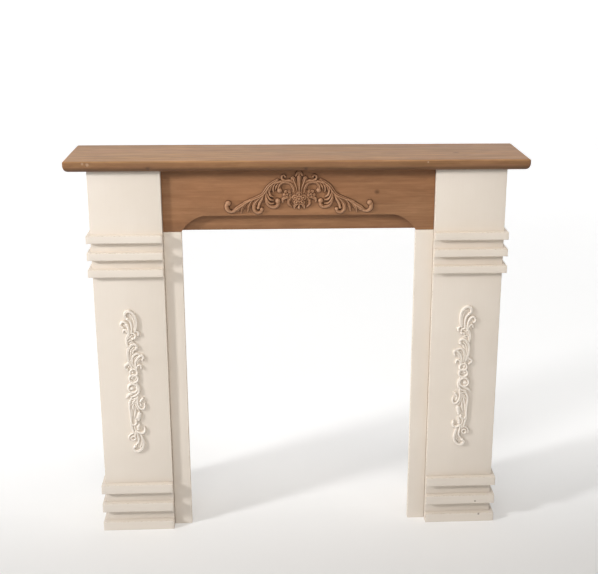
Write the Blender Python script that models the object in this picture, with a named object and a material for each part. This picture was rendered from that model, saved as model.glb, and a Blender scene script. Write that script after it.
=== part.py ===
"""A free-standing fireplace mantelpiece: a stained timber shelf and frieze on two painted legs.

Metres, +Z up. +X runs along the shelf, the front faces -Y, and the origin is on the floor under
the middle of the shelf. The carved ornaments are drawn in millimetres as bands along smooth curves.
"""
import math

import bmesh
import bpy
import numpy as np

# Shelf
SHELF_WIDTH = 1.200
SHELF_DEPTH = 0.240
SHELF_THICKNESS = 0.029
HEIGHT = 1.052
FRONT_OVERHANG = 0.024
SIDE_OVERHANG = 0.056
TOP_ROUND = 0.005
UNDER_ROUND_IN = 0.018
UNDER_ROUND_HEIGHT = 0.017
CORNER_ROUND = 0.006

# Legs
LEG_WIDTH = 0.187
FACE_BOARD = 0.013
SIDE_BOARD = 0.018
SLIP_WIDTH = 0.0485
SLIP_BOARD = 0.018

# Bands across the legs: three at the floor and three higher up
BANDS = 3
BAND_FRONT = 0.016
BAND_SIDE = 0.0095
BASE_BAND_HEIGHT = 0.0264
BASE_BAND_PITCH = 0.0567
UPPER_BAND_HEIGHT = 0.0207
UPPER_BAND_PITCH = 0.0458
BELOW_FRIEZE = 0.002

# Frieze
FRIEZE_HEIGHT = 0.165
FRIEZE_BOARD = 0.018
BACK_BOARD = 0.018
ARCH_RISE = 0.0425
ARCH_RUN = 0.058
ARCH_TURN = math.radians(48)
ARCH_STEPS = 9

# Carved ornaments: their size, and the thickness of the plate that the carving stands on. The plate's
# rim FLANGE, the GRID of the sheet and the WELD of its near points are in drawn millimetres.
FRIEZE_ORNAMENT_WIDTH = 0.381
LEG_ORNAMENT_HEIGHT = 0.421
PLATE = 0.0015
FLANGE = 1.2
DRAWN_FRIEZE_WIDTH = 381.0
DRAWN_LEG_HEIGHT = 421.0
GRID = 1.5
WELD = 0.2
PRESS = 0.35
FRIEZE_FACETS = 2000
LEG_FACETS = 800

# Between pieces that touch, and along the boards' edges
GAP = 0.0003
EDGE = 0.0012
SHARP = math.radians(40)

TIMBER = (0.42, 0.24, 0.13)
SHELF_TIMBER = (0.50, 0.31, 0.18)
CREAM = (0.80, 0.72, 0.62)

TOP_UNDERSIDE = HEIGHT - SHELF_THICKNESS
FRIEZE_BOTTOM = TOP_UNDERSIDE - FRIEZE_HEIGHT
UPPER_BAND_TOP = FRIEZE_BOTTOM - BELOW_FRIEZE
Y_BACK = SHELF_DEPTH / 2
Y_FACE = FRONT_OVERHANG - SHELF_DEPTH / 2
Y_SLIP = Y_FACE + FACE_BOARD + GAP
X_OUTER = SHELF_WIDTH / 2 - SIDE_OVERHANG
X_INNER = X_OUTER - LEG_WIDTH


def material(name, colour, roughness):
    """A plain finish of its own for each piece."""
    finish = bpy.data.materials.new(name)
    finish.use_nodes = True
    shader = finish.node_tree.nodes["Principled BSDF"]
    shader.inputs["Base Color"].default_value = (*colour, 1.0)
    shader.inputs["Roughness"].default_value = roughness
    shader.inputs["Metallic"].default_value = 0.0
    return finish


def place(name, bm, colour, roughness=0.5):
    """Turn the shape into a named object with its own material."""
    bmesh.ops.recalc_face_normals(bm, faces=bm.faces[:])
    if bm.calc_volume(signed=True) < 0:
        bmesh.ops.reverse_faces(bm, faces=bm.faces[:])
    mesh = bpy.data.meshes.new(name)
    bm.to_mesh(mesh)
    bm.free()
    mesh.shade_smooth()
    mesh.set_sharp_from_angle(angle=SHARP)
    mesh.materials.append(material(name + "_finish", colour, roughness))
    piece = bpy.data.objects.new(name, mesh)
    bpy.context.scene.collection.objects.link(piece)
    return piece


def board(name, x, y, z, colour):
    """A straight board between two corners, its edges eased. x, y and z are pairs in any order."""
    spans = [sorted(pair) for pair in (x, y, z)]
    bm = bmesh.new()
    bmesh.ops.create_cube(bm, size=1.0)
    for vert in bm.verts:
        vert.co = [(low + high) / 2 + share * (high - low) for share, (low, high) in zip(vert.co, spans)]
    bmesh.ops.bevel(bm, geom=bm.edges[:], offset=EDGE, segments=1, affect="EDGES")
    return place(name, bm, colour)


def shelf_profile():
    """(inset, height) pairs down the moulded edge: an eased arris, a flat nose and a round underside."""
    pairs = []
    for step in range(4):
        angle = math.radians(90 - 30 * step)
        pairs.append((TOP_ROUND * (1 - math.cos(angle)), HEIGHT - TOP_ROUND * (1 - math.sin(angle))))
    round_start = TOP_UNDERSIDE + UNDER_ROUND_HEIGHT
    for step in range(7):
        angle = math.radians(15 * step)
        pairs.append((UNDER_ROUND_IN * (1 - math.cos(angle)), round_start - UNDER_ROUND_HEIGHT * math.sin(angle)))
    return pairs


def shelf_outline(inset):
    """The shelf's plan drawn in by inset at the front and both ends, with its front corners rounded."""
    x, y = SHELF_WIDTH / 2 - inset, inset - SHELF_DEPTH / 2
    radius = max(CORNER_ROUND - inset, 0.0004)
    points = [(x, Y_BACK)]
    for side, start in ((1, 0), (-1, 270)):
        for step in range(5):
            angle = math.radians(start - 22.5 * step)
            points.append((side * (x - radius) + radius * math.cos(angle), y + radius + radius * math.sin(angle)))
    points.append((-x, Y_BACK))
    return points


def shelf():
    bm = bmesh.new()
    rings = [[bm.verts.new((px, py, z)) for px, py in shelf_outline(inset)] for inset, z in shelf_profile()]
    for upper, lower in zip(rings, rings[1:]):
        for k, corner in enumerate(upper):
            after = (k + 1) % len(upper)
            bm.faces.new((corner, upper[after], lower[after], lower[k]))
    bm.faces.new(rings[0])
    bm.faces.new(rings[-1])
    return place("shelf", bm, SHELF_TIMBER, 0.45)


def arch_corner():
    """Points up the curved shoulder of the arch, from the foot's inner corner to the level part."""
    chord = math.atan2(ARCH_RISE, ARCH_RUN)
    radius = math.hypot(ARCH_RUN, ARCH_RISE) / (2 * math.sin(ARCH_TURN / 2))
    first = chord + ARCH_TURN / 2
    points = []
    for step in range(ARCH_STEPS + 1):
        angle = first - ARCH_TURN * step / ARCH_STEPS
        points.append((radius * (math.sin(first) - math.sin(angle)), radius * (math.cos(angle) - math.cos(first))))
    return points


def frieze_board():
    """The front board, its lower edge cut to a flat arch between two feet as wide as the slips."""
    foot = X_INNER - SLIP_WIDTH
    half = [(X_INNER - GAP, TOP_UNDERSIDE - GAP), (X_INNER - GAP, FRIEZE_BOTTOM)]
    half += [(foot - run, FRIEZE_BOTTOM + rise) for run, rise in arch_corner()]
    outline = half + [(-x, z) for x, z in reversed(half)]
    bm = bmesh.new()
    face = bm.faces.new([bm.verts.new((x, Y_SLIP, z)) for x, z in outline])
    deep = bmesh.ops.extrude_face_region(bm, geom=[face])
    for item in deep["geom"]:
        if isinstance(item, bmesh.types.BMVert):
            item.co.y += FRIEZE_BOARD
    return place("frieze_board", bm, TIMBER)


def leg(side, sign):
    """The boards and bands of one leg; sign is -1 on the left and 1 on the right."""
    top = TOP_UNDERSIDE - GAP
    outer, inner = sign * X_OUTER, sign * X_INNER
    behind = (Y_SLIP, Y_BACK)
    board(side + "_face_board", (outer, inner), (Y_FACE, Y_FACE + FACE_BOARD), (0, top), CREAM)
    board(side + "_outer_side_board", (outer, outer - sign * SIDE_BOARD), behind, (0, top), CREAM)
    board(side + "_inner_side_board", (inner, inner + sign * SIDE_BOARD), behind, (0, top), CREAM)
    slip = (inner - sign * GAP, inner - sign * SLIP_WIDTH)
    board(side + "_slip", slip, (Y_SLIP, Y_SLIP + SLIP_BOARD), (0, FRIEZE_BOTTOM - GAP), CREAM)
    for group, height, lows in band_rows():
        for number, low in enumerate(lows, start=1):
            name = f"{side}_{group}_band_{number}"
            rows = (low, low + height)
            front = (Y_FACE - GAP - BAND_FRONT, Y_FACE - GAP)
            board(name + "_front", (outer + sign * BAND_SIDE, inner), front, rows, CREAM)
            board(name + "_side", (outer + sign * GAP, outer + sign * BAND_SIDE), (Y_FACE, Y_BACK), rows, CREAM)


def band_rows():
    """(group, height, lower edges) of the bands, counted from the lowest."""
    base = [BASE_BAND_PITCH * k for k in range(BANDS)]
    lowest = UPPER_BAND_TOP - UPPER_BAND_HEIGHT - UPPER_BAND_PITCH * (BANDS - 1)
    upper = [lowest + UPPER_BAND_PITCH * k for k in range(BANDS)]
    return ("base", BASE_BAND_HEIGHT, base), ("upper", UPPER_BAND_HEIGHT, upper)


def band(path, widths, rise=5.0, bulb=0.0, vein=0.0):
    """One carved band: its centre line, its widths from start to end, its height, the radius of the
    knob at its end and the depth of the groove along it, as a share of the height."""
    return {"path": path, "widths": widths, "rise": rise, "bulb": bulb, "vein": vein}


def ring(centre, radius, width, rise=6.0, start=0, sweep=360):
    """A round band, or a part of one."""
    angles = [math.radians(start + sweep * k / 12) for k in range(13)]
    path = [(centre[0] + radius * math.cos(a), centre[1] + radius * math.sin(a)) for a in angles]
    return band(path, (width, width), rise)


def knob(centre, radius, rise):
    return band([centre, (centre[0] + 0.1, centre[1])], (2 * radius, 2 * radius), rise)


def flower(centre, radius, rise, turn=90):
    """Five round petals about a raised eye."""
    petals = []
    for k in range(5):
        angle = math.radians(turn + 72 * k)
        tip = (centre[0] + 0.62 * radius * math.cos(angle), centre[1] + 0.62 * radius * math.sin(angle))
        petals.append(band([centre, tip], (0.35 * radius, 0.9 * radius), rise, vein=0.25))
    return petals + [knob(centre, 0.28 * radius, rise + 1.5)]


def frieze_strokes():
    """The frieze ornament's right half, measured from the middle, and what stands on its middle line."""
    spine = [
        band([(56, 34), (66, 26), (78, 16), (87, 3), (96, -7), (110, -14), (126, -20), (142, -29)],
             (7, 12, 13, 12, 11, 9, 8), 6.5, 0, 0.3),
        band([(128, -19), (142, -29), (155, -38), (166, -45), (174, -49)], (6, 9, 13, 13, 5), 6.5, 0, 0.2),
        band([(168, -49), (178, -50), (187, -44), (189, -34), (185, -28)], (6, 9, 12, 13), 6.5, 7.6),
        band([(130, -20), (142, -29), (149, -41), (151, -53)], (6, 12, 11, 3), 5.5, 0, 0.35),
        band([(114, -14), (126, -24), (132, -37), (134, -50)], (6, 12, 10, 3), 5.5, 0, 0.35),
        band([(97, -10), (109, -20), (117, -32), (117, -45), (109, -53), (100, -50), (99, -43)],
             (6, 9, 12, 11, 9, 7), 6.5, 4.6, 0.2),
        band([(99, -14), (106, -27), (109, -37)], (5, 8, 3), 4.5, 0, 0.25),
    ]
    volute = [
        band([(14, 2), (15, 14), (22, 24), (35, 28), (47, 25), (53, 16), (50, 8)],
             (5, 8, 9, 9, 9, 9), 6.5, 5.6, 0.25),
        band([(30, 28), (48, 29), (64, 26)], (5, 8, 9), 5.5),
        band([(56, 26), (63, 17), (63, 6)], (5, 8, 3), 5.0, 0, 0.2),
        band([(66, 24), (70, 14), (69, 4)], (5, 7, 3), 5.0, 0, 0.2),
        band([(79, 14), (85, 2), (86, -12), (84, -25), (76, -35), (64, -38), (56, -32), (56, -22)],
             (8, 9, 9, 10, 10, 10, 11), 6.5, 7.0, 0.2),
        band([(77, 14), (79, 3), (76, -8), (69, -14)], (6, 9, 8, 3), 5.5, 0, 0.3),
        band([(83, -4), (79, -14), (69, -23)], (6, 9, 3), 5.5, 0, 0.3),
        band([(84, -16), (76, -27), (64, -29)], (6, 8, 3), 5.5, 0, 0.3),
        band([(16, 28), (25, 31), (36, 31), (44, 36), (45, 43), (39, 46), (36, 42)], (8, 9, 8, 7, 5, 4), 5.0, 2.8),
    ]
    leaves = [
        band([(4, -4), (8, 16), (16, 37)], (6, 11, 12), 6.5, 0, 0.3),
        band([(9, -4), (15, 12), (24, 27)], (5, 9, 7), 5.0, 0, 0.3),
        band([(18, -10), (26, -19), (27, -30), (20, -38)], (8, 10, 8, 3), 5.5, 0, 0.3),
        band([(24, -10), (36, -13), (43, -18), (43, -25)], (8, 9, 8, 4), 5.5, 0, 0.25),
        band([(6, -28), (12, -36), (13, -42)], (8, 8, 3), 5.0, 0, 0.3),
    ]
    ground = [
        band([(60, 24), (80, 8), (94, -14), (118, -24), (142, -36)], (12, 20, 18, 18, 10), 1.5),
        band([(28, 0), (36, -10)], (18, 18), 1.5),
        band([(8, 14), (16, -10), (8, -26)], (10, 24, 14), 2.0),
    ]
    middle = [
        band([(0, -6), (0, 18), (0, 41)], (7, 12, 12), 7.5, 0, 0.25),
        band([(-9, 44), (-4, 52), (0, 54), (4, 52), (9, 44)], (4, 8, 9, 8, 4), 5.0),
        band([(0, 36), (0, 50)], (8, 8), 5.0),
        band([(0, -30), (-1, -40)], (5, 5), 5.0, 4.0),
    ]
    rose = flower((0, -16), 19, 8.5) + flower((0, -16), 10.5, 10.0, 54)
    return spine + volute + leaves + ground + flower((31, -4), 11.5, 7.0, 60), middle + rose


def leg_strokes():
    """The left leg's ornament, measured from its middle; the right one is its mirror image."""
    top = [
        band([(8, 148), (14, 166), (15, 185), (8, 200), (-3, 204), (-12, 200), (-14, 191), (-9, 186)],
             (7, 8, 9, 9, 8, 7), 7.0, 4.0, 0.2),
        band([(3, 150), (6, 162), (3, 180)], (6, 8, 3), 5.5, 0, 0.2),
        band([(-6, 142), (-8, 160), (-14, 172), (-22, 175), (-27, 169), (-23, 162)], (7, 8, 8, 7, 6), 6.5, 3.6),
        band([(-6, 138), (-10, 146), (-20, 151)], (6, 8, 3), 5.0),
        band([(6, 136), (13, 139), (19, 141)], (4, 5, 4), 4.5, 3.8),
        band([(-11, 134), (-4, 140), (5, 140), (11, 134), (8, 128)], (6, 7, 7, 6), 6.0, 3.8),
        band([(-4, 146), (-10, 136), (-13, 124), (-10, 108)], (7, 8, 8, 7), 6.0, 0, 0.2),
        band([(-10, 128), (-3, 126), (4, 118)], (6, 7, 3), 5.0),
        band([(-10, 117), (-4, 114), (2, 113)], (6, 7, 4), 5.0),
    ]
    shoulder = [
        band([(-6, 56), (-9, 75), (-10, 90), (-8, 102), (-1, 110), (8, 112), (14, 107), (13, 101)],
             (7, 8, 8, 8, 7, 6), 6.5, 4.0, 0.2),
        band([(-3, 76), (2, 92), (8, 99)], (5, 7, 3), 4.5),
        band([(3, 46), (0, 60), (1, 75), (8, 85), (18, 85)], (6, 8, 8, 4), 6.0, 0, 0.2),
        band([(8, 44), (8, 62), (13, 73), (21, 79), (28, 75), (26, 68)], (7, 8, 8, 7, 6), 6.0, 3.8, 0.15),
        band([(9, 37), (13, 49), (19, 52), (21, 44)], (6, 6, 5), 5.0, 3.2),
        band([(-4, 70), (-11, 60), (-18, 51), (-19, 42), (-12, 40)], (6, 8, 8, 7), 6.0, 3.6, 0.15),
        band([(-3, 62), (-5, 48), (-3, 40)], (7, 8, 7), 4.5),
    ]
    rings = [
        ring((0, 32), 8.5, 6.0),
        ring((-1, 14), 10.0, 6.5),
        ring((-3, -17), 12.5, 7.5, 6.5),
        knob((-1, 32), 3.8, 4.5),
        band([(-7, 18), (-4, 12), (2, 12), (5, 18)], (4, 5, 4), 4.5),
        knob((-4, -17), 7.0, 6.5),
        band([(11, -8), (15, -22), (9, -34), (-4, -36), (-14, -40), (-21, -47)], (6, 8, 8, 8, 7, 3), 6.0, 0, 0.15),
    ]
    middle = [
        band([(8, -40), (7, -58), (12, -73), (21, -77), (28, -69), (28, -56), (21, -45)],
             (6, 7, 7, 7, 7, 6, 4), 6.0),
        band([(14, -44), (17, -56), (20, -68)], (6, 9, 4), 5.0, 0, 0.3),
        band([(-8, -42), (-11, -58), (-13, -76), (-11, -97), (-12, -112), (-6, -120), (2, -117)],
             (6, 7, 7, 7, 7, 6), 6.0, 3.8, 0.15),
        band([(-5, -42), (-8, -56), (-5, -70), (1, -82)], (6, 7, 6, 3), 5.0, 0, 0.2),
        band([(0, -42), (-1, -58), (2, -74)], (6, 7, 3), 5.0, 0, 0.2),
        band([(-9, -84), (0, -82), (9, -88)], (5, 7, 6), 4.5),
        band([(12, -94), (12, -101)], (15, 17), 7.0),
        band([(10, -106), (8, -124)], (8, 8), 4.0),
        band([(7, -126), (7, -132)], (14, 14), 6.5),
        ring((6, -129), 9.5, 4.5, 5.0, 80, 200),
        band([(-9, -116), (-11, -130), (-8, -142), (-5, -150)], (7, 7, 7, 6), 5.5, 0, 0.15),
    ]
    foot = [
        band([(0, -142), (8, -148), (18, -149), (26, -142), (25, -134)], (6, 8, 8, 6), 6.5, 3.6),
        band([(-2, -147), (-6, -151), (-13, -151), (-19, -158), (-18, -167), (-11, -172), (-6, -166)],
             (6, 7, 8, 8, 7, 6), 6.5, 3.4, 0.15),
        band([(2, -148), (7, -162), (5, -182)], (6, 8, 3), 5.5, 0, 0.2),
        band([(8, -146), (14, -158), (18, -174), (18, -190), (12, -202), (1, -205), (-7, -200), (-9, -191), (-2, -187)],
             (7, 8, 9, 9, 8, 7, 7), 7.0, 3.8, 0.2),
    ]
    ground = [
        band([(6, 150), (6, 174), (-2, 194)], (10, 16, 12), 1.2),
        band([(-6, 146), (-17, 166)], (12, 12), 1.2),
        band([(4, 146), (-4, 130), (-4, 108)], (16, 16, 14), 1.5),
        band([(-4, 60), (-2, 90), (5, 103)], (12, 16, 12), 1.2),
        band([(4, 50), (15, 70)], (16, 16), 1.2),
        band([(-10, 58), (-14, 48)], (10, 12), 1.2),
        band([(0, 50), (-2, 0), (-2, -40)], (18, 18, 16), 1.5),
        band([(10, -40), (18, -60)], (14, 18), 1.2),
        band([(-2, -42), (-5, -80), (0, -110), (0, -150)], (14, 16, 22, 18), 1.5),
        band([(-8, -156), (-12, -163)], (12, 12), 1.2),
        band([(6, -150), (10, -176), (4, -196)], (12, 16, 12), 1.2),
    ]
    return top + shoulder + rings + middle + foot + ground


def smooth_path(points, spacing=0.9):
    """Points about spacing apart along a smooth curve through the given ones."""
    inner = np.asarray(points, float)
    whole = np.vstack([2 * inner[0] - inner[1], inner, 2 * inner[-1] - inner[-2]])
    spans = []
    for a, b, c, d in zip(whole[:-3], whole[1:-2], whole[2:-1], whole[3:]):
        count = max(2, math.ceil(np.linalg.norm(c - b) / spacing))
        t = np.linspace(0, 1, count, endpoint=False)[:, None]
        cubic = 2 * b + (c - a) * t + (2 * a - 5 * b + 4 * c - d) * t ** 2 + (3 * b - a - 3 * c + d) * t ** 3
        spans.append(cubic / 2)
    return np.vstack(spans + [inner[-1:]])


def raise_band(field, u, v, stroke):
    """Lift the field to this band: its height inside it, and minus the distance to it outside."""
    centre = smooth_path(stroke["path"])
    run = np.append(0, np.cumsum(np.linalg.norm(np.diff(centre, axis=0), axis=1)))
    stations = np.linspace(0, run[-1], len(stroke["widths"]))
    half = np.interp(run, stations, stroke["widths"]) / 2
    rise = stroke["rise"] * (0.55 + 0.45 * half / half.max())
    parts = [(centre, half, rise, stroke["vein"])]
    if stroke["bulb"]:
        parts.append((centre[-1:], np.array([stroke["bulb"]]), np.array([stroke["rise"] + 1]), 0))
    for line, radius, height, vein in parts:
        reach = radius.max() + 3 * FLANGE
        columns = (u[0] > line[:, 0].min() - reach) & (u[0] < line[:, 0].max() + reach)
        rows = (v[:, 0] > line[:, 1].min() - reach) & (v[:, 0] < line[:, 1].max() + reach)
        window = np.ix_(np.nonzero(rows)[0], np.nonzero(columns)[0])
        away = np.hypot(u[window][..., None] - line[:, 0], v[window][..., None] - line[:, 1])
        nearest = (away / radius).argmin(axis=-1)
        distance = np.take_along_axis(away, nearest[..., None], -1)[..., 0]
        share = distance / radius[nearest]
        crown = np.clip(1 - share ** 2, 0, 1) ** 0.6 - vein * np.exp(-(share / 0.35) ** 2)
        lifted = np.where(share < 1, height[nearest] * crown, radius[nearest] - distance)
        field[window] = np.maximum(field[window], lifted)


def carved_field(u, v, strokes):
    field = np.full(u.shape, -3 * FLANGE)
    for stroke in strokes:
        raise_band(field, u, v, stroke)
    return field


def carving(name, strokes, size, scale, centre, flip, facets, colour):
    """A solid with the carved surface in front, a thin plate under it and a flat back at centre.

    size is the drawing's half width and half height, scale the metres for each drawn millimetre.
    """
    across = np.arange(-size[0], size[0] + GRID, GRID)
    up = np.arange(-size[1], size[1] + GRID, GRID)
    u, v = np.meshgrid(across, up)
    field = carved_field(u, v, strokes)
    bm = bmesh.new()
    verts = {}
    for row, column in zip(*np.nonzero(field > -3 * FLANGE)):
        verts[row, column] = bm.verts.new((u[row, column], -field[row, column], v[row, column]))
    for row, column in verts:
        square = [(row, column), (row, column + 1), (row + 1, column + 1), (row + 1, column)]
        if all(corner in verts for corner in square):
            bm.faces.new([verts[corner] for corner in square])
    # the sheet is cut where the plate ends
    everything = bm.verts[:] + bm.edges[:] + bm.faces[:]
    bmesh.ops.bisect_plane(bm, geom=everything, plane_co=(0, FLANGE, 0), plane_no=(0, 1, 0), clear_outer=True)
    bmesh.ops.delete(bm, geom=[vert for vert in bm.verts if not vert.link_faces], context="VERTS")
    for vert in bm.verts:
        vert.co.y = min(vert.co.y, 0) - PLATE / scale
    bmesh.ops.remove_doubles(bm, verts=bm.verts[:], dist=WELD)
    thin_out(bm, facets)
    close_flat(bm)
    for vert in bm.verts:
        x, y, z = vert.co * scale
        vert.co = (centre[0] + flip * x, centre[1] + y, centre[2] + z)
    return place(name, bm, colour)


def thin_out(bm, facets):
    """Keep about this many triangles of the sheet, where its surface bends most.

    The relief is pressed flatter meanwhile, so that no steep side folds over.
    """
    for vert in bm.verts:
        vert.co.y *= PRESS
    sheet = bpy.data.meshes.new("sheet")
    bm.to_mesh(sheet)
    sheet.calc_loop_triangles()
    holder = bpy.data.objects.new("sheet", sheet)
    bpy.context.scene.collection.objects.link(holder)
    thinner = holder.modifiers.new("facets", "DECIMATE")
    thinner.ratio = min(1.0, facets / len(sheet.loop_triangles))
    thinned = holder.evaluated_get(bpy.context.evaluated_depsgraph_get()).to_mesh()
    bm.clear()
    bm.from_mesh(thinned)
    bpy.data.objects.remove(holder, do_unlink=True)
    for vert in bm.verts:
        vert.co.y /= PRESS
    bmesh.ops.remove_doubles(bm, verts=bm.verts[:], dist=WELD)


def close_flat(bm):
    """Close the sheet with walls straight back from its rim to a flat back at y = 0."""
    rim = [edge for edge in bm.edges if edge.is_boundary]
    copy = bmesh.ops.duplicate(bm, geom=bm.verts[:] + bm.edges[:] + bm.faces[:])
    twin = copy["vert_map"]
    inside = [item for item in copy["geom"] if isinstance(item, bmesh.types.BMEdge) and not item.is_boundary]
    for item in copy["geom"]:
        if isinstance(item, bmesh.types.BMVert):
            item.co.y = 0
    for edge in rim:
        a, b = edge.verts
        bm.faces.new((a, b, twin[b], twin[a]))
    bm.normal_update()
    bmesh.ops.dissolve_limit(bm, angle_limit=0.02, edges=inside)


def frieze_ornament():
    half, middle = frieze_strokes()
    mirrored = []
    for stroke in half:
        mirrored.append({**stroke, "path": [(-x, z) for x, z in stroke["path"]]})
    level = (FRIEZE_BOTTOM + ARCH_RISE + TOP_UNDERSIDE) / 2
    scale = FRIEZE_ORNAMENT_WIDTH / DRAWN_FRIEZE_WIDTH
    carving("frieze_ornament", half + mirrored + middle, (198, 63), scale,
            (0, Y_SLIP - GAP, level), 1, FRIEZE_FACETS, TIMBER)


def leg_ornament(side, sign):
    """The carving in the middle of the leg's panel, between the base bands and the upper bands."""
    (_, base_height, base), (_, _, upper) = band_rows()
    level = (base[-1] + base_height + upper[0]) / 2
    scale = LEG_ORNAMENT_HEIGHT / DRAWN_LEG_HEIGHT
    centre = (sign * (X_OUTER + X_INNER) / 2, Y_FACE - GAP, level)
    carving(side + "_leg_ornament", leg_strokes(), (36, 216), scale, centre, -sign, LEG_FACETS, CREAM)


def build():
    for thing in list(bpy.data.objects):
        bpy.data.objects.remove(thing, do_unlink=True)
    shelf()
    frieze_board()
    board("frieze_back_board", (GAP - X_INNER, X_INNER - GAP),
          (Y_SLIP + FRIEZE_BOARD + GAP, Y_SLIP + FRIEZE_BOARD + GAP + BACK_BOARD),
          (FRIEZE_BOTTOM, TOP_UNDERSIDE - GAP), TIMBER)
    frieze_ornament()
    for side, sign in (("left", -1), ("right", 1)):
        leg(side, sign)
        leg_ornament(side, sign)


build()
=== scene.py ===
"""Looks of the free-standing fireplace mantelpiece: stained timber above, worn cream paint below."""
import math

import bmesh
import bpy
import numpy as np
from mathutils import Euler, Matrix, Vector, noise


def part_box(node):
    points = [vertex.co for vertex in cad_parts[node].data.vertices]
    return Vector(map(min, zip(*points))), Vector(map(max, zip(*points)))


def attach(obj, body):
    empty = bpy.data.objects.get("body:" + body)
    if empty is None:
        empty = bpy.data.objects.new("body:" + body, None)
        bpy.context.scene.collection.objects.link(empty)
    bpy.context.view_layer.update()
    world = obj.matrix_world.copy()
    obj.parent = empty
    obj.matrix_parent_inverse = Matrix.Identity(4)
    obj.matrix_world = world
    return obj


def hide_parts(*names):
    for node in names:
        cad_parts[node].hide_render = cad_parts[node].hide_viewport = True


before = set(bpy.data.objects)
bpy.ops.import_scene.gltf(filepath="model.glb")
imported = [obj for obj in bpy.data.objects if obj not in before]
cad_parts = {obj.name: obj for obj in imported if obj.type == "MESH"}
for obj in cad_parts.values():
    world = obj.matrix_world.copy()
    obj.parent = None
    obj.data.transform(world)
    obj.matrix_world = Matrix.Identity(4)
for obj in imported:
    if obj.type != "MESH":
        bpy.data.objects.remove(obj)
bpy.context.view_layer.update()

# The photograph's view: a camera at standing height, a little left of the middle. The lens and sensor are
# in millimetres. The shift, a share of the sensor's width, stands for the fitted axis, off the middle.
CAMERA_PLACE = (-0.0851, -2.8522, 1.5725)
CAMERA_DOWN = math.radians(17.425)
CAMERA_YAW = math.radians(-3.627)
CAMERA_ROLL = math.radians(0.366)
CAMERA_LENS = 65.22
CAMERA_SENSOR = 36.0
CAMERA_SHIFT = -0.0572

# Boards: how their edges are eased and worn, and how far apart the wear is set out along them, in metres
EDGE_ROUND = 0.0013
EDGE_WEAR = 0.0009
STATION = 0.008

# The shelf's moulded edge, in metres. SHELF_WANDER is how far its nose wanders in and out, and the stations
# are how many points its outline has along each end and along the front.
TOP_ROUND = 0.005
UNDER_ROUND_IN = 0.018
UNDER_ROUND_HEIGHT = 0.017
CORNER_ROUND = 0.006
CORNER_LEAST = 0.0004
CORNER_STEPS = 8
SHELF_WANDER = 0.0004
SHELF_END_STATIONS = 20
SHELF_FRONT_STATIONS = 240

# The frieze's arch at each end, as an arc, and how much the board's outline is rounded, in metres
ARCH_RISE = 0.0425
ARCH_RUN = 0.058
ARCH_TURN = math.radians(48)
ARCH_STEPS = 24
FRIEZE_EDGE = 0.0011

# Carvings. They are drawn in millimetres, on a thin PLATE whose rim stands FLANGE beyond the bands. GRID is
# the pitch of the sheet's points, and points nearer than WELD become one. CAVITY is how far a point stands
# above or below its surroundings, CAVITY_REACH grid points each way, where the painted highlight above them
# and the painted shade below them are full. UNEVENNESS is the share by which the height wanders.
# FRIEZE_SHEET and LEG_SHEET are half a sheet's width and height.
MILLIMETRE = 0.001
PLATE = 1.5
FLANGE = 1.2
GRID = 0.8
WELD = 0.1
CAVITY = 1.3
CAVITY_REACH = 5
UNEVENNESS = 0.06
FRIEZE_SHEET = (198, 63)
LEG_SHEET = (36, 216)

# Grooves along a carved band. GROOVE times its vein is their depth as a share of its height, up to
# GROOVE_DEEPEST. A band whose half width is over WIDE_HALF millimetres has two grooves, any other has one.
# Each pair is a groove's distance from the centre line and its width, as shares of the half width.
GROOVE = 1.5
GROOVE_DEEPEST = 0.6
WIDE_HALF = 4.9
NARROW_GROOVE = (0.0, 0.30)
WIDE_GROOVE = (0.42, 0.17)

# Marks in the surfaces, as (place, radius)
PALE_NICKS = [((-0.5486, -0.120, 1.0464), 0.0045), ((-0.5363, -0.120, 1.0438), 0.0055),
              ((0.331, -0.120, 1.0465), 0.003)]
DARK_STAINS = [((-0.5395, -0.120, 1.0415), 0.003), ((-0.3849, -0.116, 1.0313), 0.007),
               ((0.0168, -0.115, 1.0304), 0.006)]
SHELF_KNOTS = [((0.42, -0.02, 1.052), 0.012)]
FRIEZE_KNOTS = [((0.204, -0.083, 0.961), 0.009)]
FOOT_MARKS = [((0.5102, -0.1123, 0.0232), 0.004), ((0.4984, -0.1123, 0.0645), 0.0035)]

# Knocks in the shelf's nose, as ((x, z), reach, depth)
KNOCKS = [((-0.5486, 1.0464), 0.006, 0.0022), ((-0.5363, 1.0438), 0.007, 0.0026),
          ((-0.3849, 1.0313), 0.008, 0.002), ((0.0168, 1.0304), 0.007, 0.0018),
          ((0.331, 1.0465), 0.006, 0.0012), ((-0.17, 1.044), 0.005, 0.0012)]

# Colours, as linear light
SHELF_LIGHT = (0.56, 0.315, 0.138)
SHELF_DARK = (0.37, 0.180, 0.072)
FRIEZE_LIGHT = (0.398, 0.205, 0.099)
FRIEZE_DARK = (0.222, 0.101, 0.044)
# A painted highlight for carved crests, then painted shade for carved hollows, in the stained timber
PAINTED_CREST_HIGHLIGHT = (0.64, 0.38, 0.235)
PAINTED_HOLLOW_SHADE = (0.070, 0.027, 0.011)
CREAM = (0.86, 0.785, 0.70)
# A painted highlight for the leg carvings' crests, then a grubby colour for worn edges that is also painted
# shade in carved hollows
CREAM_PAINTED_HIGHLIGHT = (0.95, 0.89, 0.82)
CREAM_DIRT_AND_PAINTED_SHADE = (0.50, 0.38, 0.26)
RED_STREAK = (0.46, 0.22, 0.125)
# Painted shade for the shelf's downward faces
UNDERSIDE_PAINTED_SHADE = (0.62, 0.58, 0.56)
BARE_WOOD = (0.70, 0.50, 0.36)
WOOD_STAIN = (0.07, 0.035, 0.02)
PAINT_MARK = (0.16, 0.11, 0.08)
FLOOR = (0.75, 0.75, 0.75)
FLOOR_FAR = (0.05, 0.05, 0.05)

# The paint is darker near the floor, from FOOT_TOP down to FOOT_LOW
FOOT_TOP = 0.30
FOOT_LOW = 0.05
FOOT_DIM = 0.84

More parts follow.
